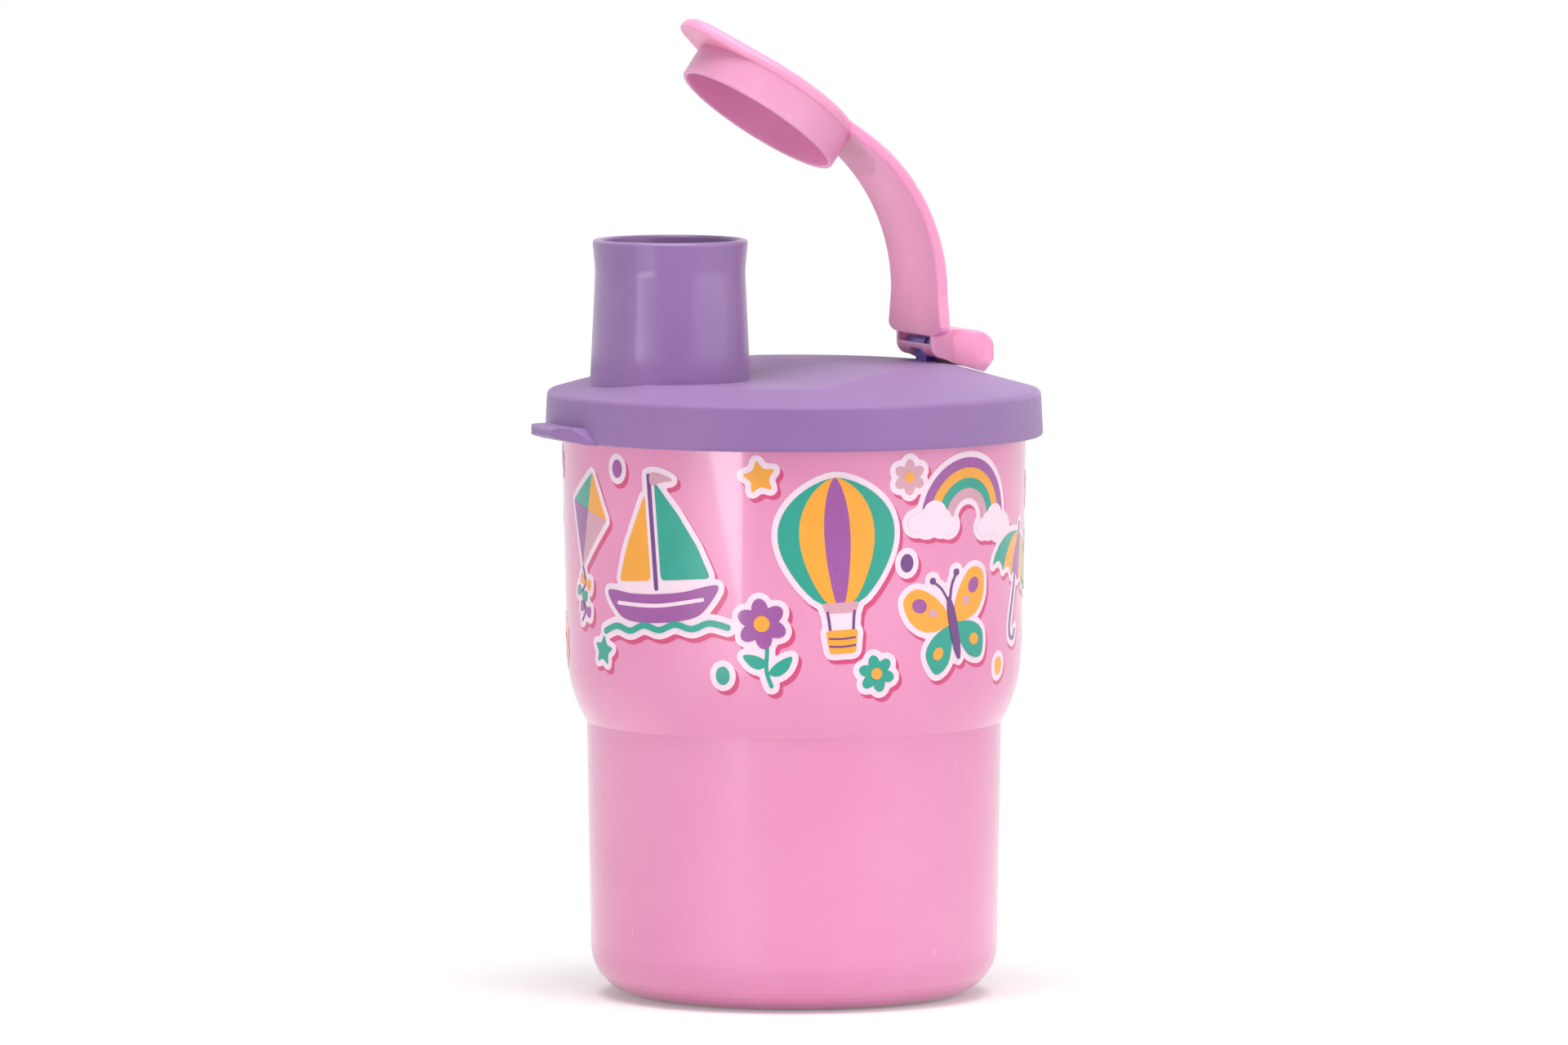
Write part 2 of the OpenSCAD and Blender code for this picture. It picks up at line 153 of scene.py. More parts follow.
# painted shade: darkens the colour round one point, for the shade that falls in the hinge's recess
def paintedShadeRound(tree, look, colour):  # a deeper tint round one point
    where = addNode(tree, "ShaderNodeTexCoord", (-900, 500))
    offset = addNode(tree, "ShaderNodeVectorMath", (-700, 500), operation="SUBTRACT")
    offset.inputs[1].default_value = [v * mm for v in look["shadeCentre"]]
    squash = addNode(tree, "ShaderNodeVectorMath", (-500, 500), operation="MULTIPLY")
    squash.inputs[1].default_value = (1, look["shadeNarrow"], 1)
    reach = addNode(tree, "ShaderNodeVectorMath", (-300, 500), operation="LENGTH")
    shade = addNode(tree, "ShaderNodeMapRange", (-100, 500), interpolation_type="SMOOTHSTEP")
    setInputs(shade, From_Min=look["shadeFrom"] * mm, From_Max=look["shadeTo"] * mm)
    setInputs(shade, To_Min=1.0, To_Max=0.0)
    deepen = addNode(tree, "ShaderNodeMix", (350, 300), data_type="RGBA")
    deepen.inputs["B"].default_value = look["paintedShadeTint"]
    link = tree.links.new
    link(where.outputs["Object"], offset.inputs[0])
    link(offset.outputs["Vector"], squash.inputs[0])
    link(squash.outputs["Vector"], reach.inputs[0])
    link(reach.outputs["Value"], shade.inputs["Value"])
    link(shade.outputs["Result"], deepen.inputs["Factor"])
    link(colour, deepen.inputs["A"])
    return deepen.outputs["Result"]


def polishAbove(tree, look, roughness, shader):  # smoother, and coated, above a height
    where = addNode(tree, "ShaderNodeTexCoord", (-500, -500))
    split = addNode(tree, "ShaderNodeSeparateXYZ", (-300, -500))
    polish = addNode(tree, "ShaderNodeMapRange", (-100, -500), interpolation_type="SMOOTHSTEP")
    setInputs(polish, From_Min=look["polishFrom"] * mm, From_Max=look["polishTo"] * mm)
    smoother = addNode(tree, "ShaderNodeMix", (350, -100), data_type="FLOAT")
    smoother.inputs["B"].default_value = look["polishRoughness"]
    coat = addNode(tree, "ShaderNodeMath", (350, -600), operation="MULTIPLY")
    coat.inputs[1].default_value = look["polishCoat"]
    link = tree.links.new
    link(where.outputs["Object"], split.inputs["Vector"])
    link(split.outputs["Z"], polish.inputs["Value"])
    link(polish.outputs["Result"], smoother.inputs["Factor"])
    link(roughness, smoother.inputs["A"])
    link(polish.outputs["Result"], coat.inputs[0])
    link(coat.outputs["Value"], shader.inputs["Coat Weight"])
    return smoother.outputs["Result"]


def plasticMaterial(look):
    material, tree = newMaterial(look["name"])
    out = addNode(tree, "ShaderNodeOutputMaterial", (900, 0))
    shader = addNode(tree, "ShaderNodeBsdfPrincipled", (550, 0))
    shader.inputs["IOR"].default_value = moulded["ior"]
    setInputs(shader, Coat_Weight=look["coat"], Coat_Roughness=look["coatRoughness"])
    shader.inputs["Specular IOR Level"].default_value = look.get("specular", 0.5)
    if "sheen" in look:
        setInputs(shader, Sheen_Weight=look["sheen"], Sheen_Roughness=look["sheenRoughness"])
    if "glow" in look:
        setInputs(shader, Subsurface_Weight=look["glow"], Subsurface_Radius=look["glowRadius"])
        setInputs(shader, Subsurface_Scale=look["glowDepth"] * mm)
    surface = addNode(tree, "ShaderNodeGroup", (-500, 0), node_tree=mouldedSurface)
    setInputs(surface, Cloud_Scale=look["cloudScale"], Grain_Scale=look["grainScale"])
    setInputs(surface, Mark_Scale=look["markScale"])
    tint = addNode(tree, "ShaderNodeMix", (150, 200), data_type="RGBA")
    setInputs(tint, A=look["deep"], B=look["pale"])
    spread = addNode(tree, "ShaderNodeMapRange", (-150, 200))
    setInputs(spread, From_Min=moulded["cloudFrom"], From_Max=moulded["cloudTo"])
    rough = addNode(tree, "ShaderNodeMapRange", (150, -100))
    setInputs(rough, To_Min=look["roughness"], To_Max=look["roughness"] + look["markRoughness"])
    bump = addNode(tree, "ShaderNodeBump", (250, -350))
    setInputs(bump, Strength=look["grainStrength"], Distance=look["grainDepth"] * mm)
    colour, roughness = tint.outputs["Result"], rough.outputs["Result"]
    # painted shade in the hinge's recess, where the look sets one
    if "paintedShadeTint" in look:
        colour = paintedShadeRound(tree, look, colour)
    if "polishFrom" in look:
        roughness = polishAbove(tree, look, roughness, shader)
    link = tree.links.new
    link(surface.outputs["Cloud"], spread.inputs["Value"])
    link(spread.outputs["Result"], tint.inputs["Factor"])
    link(surface.outputs["Marks"], rough.inputs["Value"])
    link(surface.outputs["Grain"], bump.inputs["Height"])
    link(colour, shader.inputs["Base Color"])
    link(roughness, shader.inputs["Roughness"])
    link(bump.outputs["Normal"], shader.inputs["Normal"])
    link(shader.outputs["BSDF"], out.inputs["Surface"])
    return material


# cup: glossy moulded pink
cupLook = {
    "name": "cupPinkGloss",
    "deep": fromScreen(229, 139, 183),
    "pale": fromScreen(233, 147, 189),
    "roughness": 0.22, "markRoughness": 0.08,
    "coat": 0.5, "coatRoughness": 0.06,
    "cloudScale": 30.0, "grainScale": 900.0, "markScale": 160.0,
    "grainStrength": 0.05, "grainDepth": 0.02,
}
# lid: soft satin purple
lidLook = {
    "name": "lidPurpleSatin",
    "deep": fromScreen(133, 93, 155),
    "pale": fromScreen(139, 99, 160),
    "roughness": 0.55, "markRoughness": 0.08,
    "coat": 0.0, "coatRoughness": 0.12, "specular": 0.4,
    "sheen": 0.19, "sheenRoughness": 0.75,
    "polishFrom": 109.5, "polishTo": 112.5,   # mm, the spout above the lid's top is glossier
    "polishRoughness": 0.35, "polishCoat": 0.2,
    # painted shade: a deep violet tint for the shade in the hinge's recess
    "paintedShadeTint": fromScreen(74, 14, 150),     # the hinge's recess, round a point in mm
    "shadeCentre": (24.9, 0, 112.15), "shadeFrom": 3.6, "shadeTo": 5.2, "shadeNarrow": 0.45,
    "cloudScale": 40.0, "grainScale": 2200.0, "markScale": 220.0,
    "grainStrength": 0.12, "grainDepth": 0.03,
}
# flip cap: satin pink
capLook = {
    "name": "capPinkSatin",
    "deep": fromScreen(226, 148, 183),
    "pale": fromScreen(230, 155, 189),
    "roughness": 0.38, "markRoughness": 0.10,
    "coat": 0.05, "coatRoughness": 0.25, "specular": 0.4,
    "glow": 0.6, "glowRadius": (1, 0.7, 0.85), "glowDepth": 4,   # light that thin plastic lets through, mm
    "cloudScale": 45.0, "grainScale": 2000.0, "markScale": 240.0,
    "grainStrength": 0.10, "grainDepth": 0.03,
}


def dressNode(node, look):
    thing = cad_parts[node]
    thing.data.materials.clear()
    thing.data.materials.append(plasticMaterial(look))


dressNode("cup", cupLook)
dressNode("lid", lidLook)
dressNode("flip_cap", capLook)
print("mouldings dressed")


# print on the cup's upper wall, lengths in mm
wall = {
    "rimR": 40.2, "rimZ": 103, "taper": 1,
    "creaseZ": 47.5, "step": 3.4, "curveR": 23,
}
wall["shoulderR"] = wall["rimR"] - wall["taper"]
curveTurn = math.acos(1 - wall["step"] / wall["curveR"])
wall["shoulderZ"] = wall["creaseZ"] + wall["curveR"] * math.sin(curveTurn)
printArt = {
    "outline": 1.05,          # white border round a motif
    "shadow": (0.6, -0.75),   # how far the darker copy of the border is shifted
    "shadowLevel": 0.04, "outlineLevel": 0.07, "fillLevel": 0.10,
    "levelStep": 0.012,       # between shapes of one motif, so that none are coplanar
    "sink": 0.25,             # how deep an ink patch goes into the wall
    "bendStep": 1.2,          # spacing of the inner points that let a patch bend
    "edgeStep": 0.8,          # the same along a patch's edge
    "edgeClear": 0.45,        # inner points nearer to the edge are left out
    "leastSide": 0.02,        # shorter sides of a shape are dropped
    "traceStep": 0.25,        # grid on which the border is traced
    "leastBorder": 1,         # area of the smallest border, square mm
    "sharpAngle": 35,
}
inkColours = {
    "shade": fromScreen(214, 66, 122),
    "white": fromScreen(250, 222, 238),
    "yellow": fromScreen(250, 166, 40),
    "teal": fromScreen(8, 160, 140),
    "purple": fromScreen(158, 78, 158),
    "plum": fromScreen(108, 52, 128),
    "rose": fromScreen(217, 160, 178),
}
inkNames = list(inkColours)
inkLook = {   # what differs from the cup
    "roughness": 0.26, "markRoughness": 0.03,
    "cloudScale": 120.0, "grainScale": 1500.0, "grainStrength": 0.08,
}
inkDeep = 0.93   # the darker side of an ink's clouding


def inkMaterial(name):
    pale = inkColours[name]
    deep = [v * inkDeep for v in pale[:3]] + [1.0]
    return plasticMaterial(dict(cupLook, **inkLook, name="ink" + name.capitalize(), deep=deep, pale=pale))


inks = [inkMaterial(name) for name in inkNames]


def wallRadius(z):
    if z >= wall["shoulderZ"]:
        share = (z - wall["shoulderZ"]) / (wall["rimZ"] - wall["shoulderZ"])
        return wall["shoulderR"] + wall["taper"] * share
    dropZ = wall["shoulderZ"] - z
    return wall["shoulderR"] - wall["curveR"] + math.sqrt(wall["curveR"] ** 2 - dropZ ** 2)


# flat shapes, as closed lists of points
def oval(cx, cy, rx, ry, turned=0, count=36):
    c, s = math.cos(math.radians(turned)), math.sin(math.radians(turned))
    points = []
    for i in range(count):
        a = 2 * math.pi * i / count
        x, y = rx * math.cos(a), ry * math.sin(a)
        points.append((cx + x * c - y * s, cy + x * s + y * c))
    return points


def softLine(points, closed, steps=6):  # smooth line through the points
    n = len(points)
    out = []
    for i in range(n if closed else n - 1):
        if closed:
            p = [points[(i + k) % n] for k in (-1, 0, 1, 2)]
        else:
            p = [points[min(max(i + k, 0), n - 1)] for k in (-1, 0, 1, 2)]
        for j in range(steps):
            t = j / steps
            out.append(tuple(
                0.5 * (2 * p[1][d] + (p[2][d] - p[0][d]) * t
                       + (2 * p[0][d] - 5 * p[1][d] + 4 * p[2][d] - p[3][d]) * t * t
                       + (3 * p[1][d] - p[0][d] - 3 * p[2][d] + p[3][d]) * t ** 3)
                for d in (0, 1)))
    if not closed:
        out.append(tuple(points[-1]))
    return out


def softLoop(*points):
    return softLine(points, True)


def roundedLoop(points, r, steps=5):  # straight sides with rounded corners
    out = []
    n = len(points)
    for i in range(n):
        q = np.array(points[i], float)
        u = np.array(points[i - 1], float) - q
        w = np.array(points[(i + 1) % n], float) - q
        a, b = q + u / np.linalg.norm(u) * r, q + w / np.linalg.norm(w) * r
        for j in range(steps + 1):
            t = j / steps
            out.append(tuple((1 - t) ** 2 * a + 2 * t * (1 - t) * q + t * t * b))
    return out


def ribbon(points, width, steps=5):  # band of even width along a smooth line, with round ends
    line = np.array(softLine(points, False, steps))
    along = np.gradient(line, axis=0)
    along /= np.linalg.norm(along, axis=1)[:, None]
    side = np.stack([-along[:, 1], along[:, 0]], 1) * width / 2

    def roundEnd(middle, way):
        base = math.atan2(way[1], way[0])
        angles = [base + math.pi / 2 - math.pi * k / 6 for k in range(1, 6)]
        return [(middle[0] + width / 2 * math.cos(a), middle[1] + width / 2 * math.sin(a)) for a in angles]

    there = [tuple(p) for p in line + side] + roundEnd(line[-1], along[-1])
    back = [tuple(p) for p in (line - side)[::-1]] + roundEnd(line[0], -along[0])
    return there + back


def bow(cx, cy, rIn, rOut, start, stop, count=26):  # part of a ring
    angles = [math.radians(start + (stop - start) * i / count) for i in range(count + 1)]
    outer = [(cx + rOut * math.cos(a), cy + rOut * math.sin(a)) for a in angles]
    inner = [(cx + rIn * math.cos(a), cy + rIn * math.sin(a)) for a in reversed(angles)]
    return outer + inner


# motifs: lists of (ink, closed points), the first lowest
def airBalloon():
    def half(t):  # half of the envelope's width, t from its top to its mouth
        return 9.4 * max(0, math.sin(math.pi * t ** 0.85)) ** 0.72 * (1 - 0.12 * t) + 2.4 * t ** 3

    heights = [(i / 26) ** 1.5 for i in range(27)]
    edge = [(half(t), 12.5 - 19.5 * t) for t in heights]
    cuts = (-1, -0.64, -0.22, 0.22, 0.64, 1)
    parts = []
    for k, name in enumerate(("teal", "yellow", "purple", "yellow", "teal")):
        left = [(cuts[k] * x, y) for x, y in edge]
        right = [(cuts[k + 1] * x, y) for x, y in edge]
        parts.append((name, left + right[::-1]))
    parts.append(("rose", roundedLoop([(-2.9, -6.6), (2.9, -6.6), (2.3, -8.2), (-2.3, -8.2)], 0.3)))
    for x in (-1, 1):
        parts.append(("plum", ribbon([(2.1 * x, -8.0), (1.9 * x, -9.6), (1.8 * x, -11.2)], 0.4)))
    parts.append(("yellow", roundedLoop([(-2.5, -10.8), (2.5, -10.8), (2.0, -14.4), (-2.0, -14.4)], 0.6)))
    for y in (-12.0, -13.2):
        parts.append(("plum", ribbon([(-2.0, y), (0, y - 0.15), (2.0, y)], 0.3)))
    return parts


def sailBoat():
    return [
        ("plum", ribbon([(0, -5.5), (0, 3), (0, 12)], 0.8)),
        ("teal", roundedLoop([(1.0, 11.2), (1.0, -4.3), (9.8, -4.3), (7.9, 0.8), (4.9, 6.0)], 0.9)),
        ("yellow", roundedLoop([(-1.0, 9.2), (-3.2, 5.2), (-5.8, 0.6), (-7.7, -4.3), (-1.0, -4.3)], 0.9)),
        ("rose", softLoop((0.4, 12.4), (2.4, 12.2), (4.4, 11.2), (2.4, 10.9), (0.4, 10.6))),
        ("purple", softLoop((-10.6, -5.6), (-5, -6.2), (0, -6.4), (5, -6.2), (10.9, -5.4), (8.8, -8.8),
                            (6, -10.4), (0, -10.9), (-6, -10.4), (-8.8, -8.8))),
        ("white", ribbon([(-8.2, -7.6), (0, -8.2), (8.2, -7.5)], 0.6)),
        ("teal", ribbon([(-12, -12), (-9, -11.2), (-6, -12), (-3, -11.2), (0, -12), (3, -11.2),
                         (6, -12), (9, -11.2), (12, -12)], 1.0)),
    ]


def tailedKite():
    top, left, right, foot, mid = (0, 10), (-6.6, 2.6), (6.6, 2.6), (0, -8.5), (0, 2.6)
    parts = [
        ("teal", roundedLoop([top, mid, left], 0.3)), ("yellow", roundedLoop([top, right, mid], 0.3)),
        ("purple", roundedLoop([left, mid, foot], 0.3)), ("rose", roundedLoop([mid, right, foot], 0.3)),
    ]
    tail = [(0, -8.5), (1.6, -11), (0.6, -13.5), (2.6, -16), (1.6, -18.5)]
    parts.append(("plum", ribbon(tail, 0.45)))
    for (x, y), name in zip(tail[1:4], ("yellow", "teal", "purple")):
        parts.append((name, softLoop((x, y), (x - 1.9, y + 1.1), (x - 2.0, y - 0.9))))
        parts.append((name, softLoop((x, y), (x + 1.9, y + 0.9), (x + 2.0, y - 1.1))))
    return parts


def butterfly():
    parts = []
    for s in (-1, 1):
        parts.append(("yellow", softLoop((0.5 * s, 0.6), (2.4 * s, 5.2), (6.2 * s, 8.2), (9.2 * s, 6.8),
                                         (8.6 * s, 2.8), (5.4 * s, 0.2))))
        parts.append(("teal", softLoop((0.5 * s, 0), (4.6 * s, -0.8), (7.0 * s, -3.4), (5.8 * s, -7.2),
                                       (2.8 * s, -6.4), (1.0 * s, -3.2))))
        parts.append(("purple", oval(6.3 * s, 5.2, 1.5, 1.2, 30 * s)))
        parts.append(("rose", oval(3.9 * s, 3.2, 0.9, 0.7, 30 * s)))
        parts.append(("yellow", oval(4.4 * s, -3.9, 1.2, 1.0, -30 * s)))
        parts.append(("plum", ribbon([(0.3 * s, 4.6), (1.2 * s, 6.8), (2.6 * s, 8.4)], 0.4)))
        parts.append(("plum", oval(2.7 * s, 8.6, 0.6, 0.6)))
    parts.append(("plum", oval(0, -0.6, 0.95, 5.6)))
    return parts


def stemFlower(petal="purple", middle="yellow"):
    parts = [
        ("teal", ribbon([(0, 0), (0.4, -5), (-0.4, -10), (0.2, -13.5)], 0.9)),
        ("teal", softLoop((0, -10.6), (2.2, -8.6), (5.4, -7.8), (4.2, -10.4), (1.8, -11.6))),
        ("teal", softLoop((0, -8.4), (-2.2, -6.6), (-5.0, -6.2), (-3.8, -8.6), (-1.8, -9.6))),
    ]
    return parts + daisy(petal, middle, 2.9, 4.1)


def daisy(petal="teal", middle="yellow", reach=2.0, size=2.6):
    parts = []
    for i in range(6):
        a = 60 * i + 30
        cx, cy = reach * math.cos(math.radians(a)), reach * math.sin(math.radians(a))
        parts.append((petal, oval(cx, cy, size * 0.62, size * 0.44, a, 28)))
    parts.append((middle, oval(0, 0, size * 0.42, size * 0.42, 0, 28)))
    return parts


def rainbow():
    parts = [(name, bow(0, -4, r - 2.0, r, 4, 176))
             for name, r in (("purple", 12.0), ("yellow", 10.0), ("teal", 8.0), ("rose", 6.0))]
    puffs = ((7.0, -4.6, 2.6), (10.6, -4.8, 2.7), (8.8, -3.4, 2.9), (13.0, -5.4, 1.9), (5.0, -5.4, 1.8))
    for s in (-1, 1):
        for x, y, r in puffs:
            parts.append(("white", oval(x * s, y, r, r * 0.92)))
    return parts


def umbrella():
    def rib(x):
        turns = [math.pi / 2 * (i / 10) for i in range(11)]
        return [(x * math.sin(a), 8.6 - 8.4 * (1 - math.cos(a))) for a in turns]

    parts = [("plum", ribbon([(0, 10.4), (0, 9), (0, 7.6)], 0.7)),
             ("plum", ribbon([(0, 1), (0, -4), (0, -8.6), (1.0, -10.4), (2.8, -10.4), (3.4, -8.8)], 0.8))]
    tips = (-10.5, -6.3, -2.1, 2.1, 6.3, 10.5)
    for k, name in enumerate(("teal", "yellow", "purple", "yellow", "teal")):
        a, b = tips[k], tips[k + 1]
        rim = [(a + (b - a) * t, 0.2 + 1.3 * math.sin(math.pi * t)) for t in (0, 0.2, 0.4, 0.6, 0.8, 1)]
        parts.append((name, rib(a) + rim[1:-1] + rib(b)[:0:-1]))
    return parts


def pinwheel():
    parts = [("plum", ribbon([(0, 0), (0.3, -7), (0, -14)], 0.8))]
    blade = [(0, 0), (1.2, 3.2), (4.0, 6.4), (7.2, 7.0), (6.6, 3.6), (3.6, 1.0)]
    for i, name in enumerate(("teal", "yellow", "purple", "rose")):
        c, s = math.cos(math.pi / 2 * i), math.sin(math.pi / 2 * i)
        parts.append((name, softLoop(*[(x * c - y * s, x * s + y * c) for x, y in blade])))
    parts.append(("plum", oval(0, 0, 1.0, 1.0, 0, 24)))
    return parts


def star(name="yellow", r=3.4):
    points = []
    for i in range(10):
        a = math.radians(90 + 36 * i)
        reach = r if i % 2 == 0 else r * 0.52
        points.append((reach * math.cos(a), reach * math.sin(a)))
    return [(name, roundedLoop(points, r * 0.16, 3))]


def dot(name="purple"):
    return [(name, oval(0, 0, 1.25, 1.6, 0, 28))]


# motif, degrees round from the camera, height of its middle, turn in degrees, scale
layout = [
    ("kite", tailedKite, -63, 83, -14, 0.92),
    ("boat", sailBoat, -37, 79, 4, 1.1),
    ("balloon", airBalloon, 11, 78.5, 3, 1.12),
    ("butterflyA", butterfly, 43.5, 66.5, 14, 1.0),
    ("rainbowA", rainbow, 48.5, 88, -5, 0.88),
    ("umbrella", umbrella, 73, 73, -16, 0.95),
    ("flowerA", stemFlower, -8, 67.5, 8, 0.8),
    ("starA", lambda: star("yellow"), -8.5, 92.5, 10, 0.9),
    ("starB", lambda: star("teal", 3.1), -56, 61.5, -8, 0.9),
    ("daisyA", lambda: daisy("rose", "yellow"), 29.5, 92.2, 0, 0.85),
    ("daisyB", lambda: daisy("teal", "yellow"), 21, 58.8, 15, 0.9),
    ("dotA", lambda: dot("purple"), -49, 93, 0, 1.0),
    ("dotB", lambda: dot("teal"), -18, 58.5, 0, 1.0),
    ("dotC", lambda: dot("plum"), 29, 77.5, 0, 1.0),
    ("dotD", lambda: dot("yellow"), 63, 58.5, 0, 1.0),
    ("starC", lambda: star("purple", 3.2), 94, 62.5, 12, 0.9),
    ("pinwheel", pinwheel, 99, 84, 10, 0.95),
    ("boatB", sailBoat, 130, 75, -5, 1.0),
    ("starD", lambda: star("yellow"), 115, 92, 0, 0.9),
    ("butterflyB", butterfly, 160, 85.5, -16, 0.85),
    ("flowerB", lambda: stemFlower("rose", "yellow"), 158, 66, 8, 0.9),
    ("balloonB", airBalloon, 188, 78, -4, 1.08),
    ("daisyC", lambda: daisy("purple", "yellow"), 142, 92, 0, 0.9),
    ("rainbowB", rainbow, 222, 86, 6, 0.9),
    ("umbrellaB", umbrella, 226, 65, 14, 0.8),
    ("dotE", lambda: dot("teal"), 205, 61, 0, 1.0),
    ("pinwheelB", pinwheel, 256, 78, -8, 1.0),
    ("starE", lambda: star("teal", 3.2), 243, 92.2, 8, 0.9),
    ("daisyD", lambda: daisy("yellow", "purple"), 272, 62, 0, 1.0),
    ("dotF", lambda: dot("purple"), 274, 93, 0, 1.0),
]


def signedDistance(points, x, y):  # to a closed outline, below 0 inside
    p = np.array(points, float)
    q = np.roll(p, -1, axis=0)
    nearest = np.full(x.shape, 1e9)
    inside = np.zeros(x.shape, bool)
    for (ax, ay), (bx, by) in zip(p, q):
        ex, ey = bx - ax, by - ay
        size = ex * ex + ey * ey
        if size < 1e-12:
            continue
        t = np.clip(((x - ax) * ex + (y - ay) * ey) / size, 0, 1)
        nearest = np.minimum(nearest, (x - ax - t * ex) ** 2 + (y - ay - t * ey) ** 2)
        if ay != by:
            crosses = (ay > y) != (by > y)
            inside ^= crosses & (x < ex * (y - ay) / ey + ax)
    return np.where(inside, -1, 1) * np.sqrt(nearest)


def traceBorder(parts, reach):  # outer loops at a distance round all the shapes together
    every = np.array([p for _, points in parts for p in points])
    step = printArt["traceStep"]
    low, high = every.min(0) - reach - 2 * step, every.max(0) + reach + 2 * step
    xs, ys = np.arange(low[0], high[0], step), np.arange(low[1], high[1], step)
    gx, gy = np.meshgrid(xs, ys, indexing="ij")
    field = np.minimum.reduce([signedDistance(points, gx, gy) for _, points in parts]) - reach
    solid = field < 0
    cells = np.argwhere((solid[:-1, :-1] != solid[1:, :-1]) | (solid[:-1, :-1] != solid[:-1, 1:])
                        | (solid[:-1, :-1] != solid[1:, 1:]))
    after = {}

    def crossing(a, b):
        key = (min(a, b), max(a, b))
        t = field[a] / (field[a] - field[b])
        return key, (xs[a[0]] + (xs[b[0]] - xs[a[0]]) * t, ys[a[1]] + (ys[b[1]] - ys[a[1]]) * t)

    spots = {}
    for i, j in cells:
        ring = [(i, j), (i + 1, j), (i + 1, j + 1), (i, j + 1)]
        ways = []
        for k in range(4):
            a, b = ring[k], ring[(k + 1) % 4]
            if solid[a] != solid[b]:
                key, spot = crossing(a, b)
                spots[key] = spot
                ways.append((key, solid[a]))
        leave = [key for key, fromSolid in ways if fromSolid]
        enter = [key for key, fromSolid in ways if not fromSolid]
        for a, b in zip(leave, enter):
            after[a] = b
    loops = []
    while after:
        loop, key = [], next(iter(after))
        while key in after:
            loop.append(spots[key])
            key = after.pop(key)
        loop = np.array(loop)[::2]
        nextOnes = np.roll(loop, -1, axis=0)
        area = 0.5 * np.sum(loop[:, 0] * nextOnes[:, 1] - nextOnes[:, 0] * loop[:, 1])
        loops.append((area, [tuple(p) for p in loop]))
    largest = max(loops, key=lambda item: abs(item[0]))[0]
    least = printArt["leastBorder"]
    return [points for area, points in loops if area * largest > 0 and abs(area) > least]


def denser(points):  # adds points to long sides, so that a patch can bend
    out = []
    for a, b in zip(points, points[1:] + points[:1]):
        count = max(1, math.ceil(math.dist(a, b) / printArt["edgeStep"]))
        out += [(a[0] + (b[0] - a[0]) * i / count, a[1] + (b[1] - a[1]) * i / count) for i in range(count)]
    return out


def addPatch(build, points, level, inkIndex, put):
    least = printArt["leastSide"]
    loop = denser([p for k, p in enumerate(points) if math.dist(p, points[k - 1]) > least])
    low, high = np.min(loop, 0), np.max(loop, 0)
    gap = printArt["bendStep"]
    xs, ys = np.arange(low[0] + gap / 2, high[0], gap), np.arange(low[1] + gap / 2, high[1], gap)
    gx, gy = np.meshgrid(xs, ys)
    keep = signedDistance(loop, gx, gy) < -printArt["edgeClear"]
    flat = [Vector(p) for p in loop] + [Vector(p) for p in zip(gx[keep], gy[keep])]
    spots, _, faces, _, _, _ = delaunay_2d_cdt(flat, [], [list(range(len(loop)))], 1, 1e-4)
    front = [build.verts.new(put(p.x, p.y, level)) for p in spots]
    back = [build.verts.new(put(p.x, p.y, -printArt["sink"])) for p in spots]
    sides = {}
    made = []
    for a, b, c in faces:
        (ax, ay), (bx, by), (cx, cy) = spots[a], spots[b], spots[c]
        if (bx - ax) * (cy - ay) - (by - ay) * (cx - ax) < 0:
            b, c = c, b
        made.append(build.faces.new((front[a], front[b], front[c])))
        made.append(build.faces.new((back[a], back[c], back[b])))
        for p, q in ((a, b), (b, c), (c, a)):
            if (q, p) in sides:
                del sides[(q, p)]
            else:
                sides[(p, q)] = True
    for p, q in sides:
        made.append(build.faces.new((front[q], front[p], back[p], back[q])))
    for f in made:
        f.material_index = inkIndex
        f.smooth = True


def addMotif(name, parts, around, height, turned, scale):
    c, s = math.cos(math.radians(turned)) * scale, math.sin(math.radians(turned)) * scale
    placed = [(inkName, [(x * c - y * s, x * s + y * c) for x, y in points]) for inkName, points in parts]
    middleR = wallRadius(height)

    def put(x, y, level):
        z = height + y
        a = math.radians(around) + x / middleR
        return outward(a) * (wallRadius(z) + level) * mm + Vector((0, 0, z * mm))

    build = bmesh.new()
    dx, dy = printArt["shadow"]
    step = printArt["levelStep"]
    border = traceBorder(placed, printArt["outline"])
    for k, loop in enumerate(border):
        shifted = [(x + dx, y + dy) for x, y in loop]
        addPatch(build, shifted, printArt["shadowLevel"] + k * step, inkNames.index("shade"), put)
        addPatch(build, loop, printArt["outlineLevel"] + k * step, inkNames.index("white"), put)
    for k, (inkName, points) in enumerate(placed):
        addPatch(build, points, printArt["fillLevel"] + k * step, inkNames.index(inkName), put)
    loose = [v for v in build.verts if not v.link_faces]
    bmesh.ops.delete(build, geom=loose, context="VERTS")
    mesh = bpy.data.meshes.new("print_" + name)
    build.to_mesh(mesh)
    build.free()
    for material in inks:
        mesh.materials.append(material)
    mesh.set_sharp_from_angle(angle=math.radians(printArt["sharpAngle"]))
    motif = bpy.data.objects.new("print_" + name, mesh)
    bpy.context.scene.collection.objects.link(motif)
    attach(motif, "cup")


for name, shape, around, height, turned, scale in layout:
    addMotif(name, shape(), around, height, turned, scale)
print("print laid out:", len(layout), "motifs")


# floor and light
studio = {
    "floorSize": 24,
    "floorColour": (0.8, 0.8, 0.8, 1), "floorRoughness": 0.8,
    "floorLift": 0.22,                      # added as it is seen, so that only the shadow isn't white
    "shadowFrom": 0.10, "shadowTo": 0.45,   # metres from the cup, where the lit floor turns plain white
    "ambient": 0.25,                        # world light on surfaces; the background itself shows at 1
}


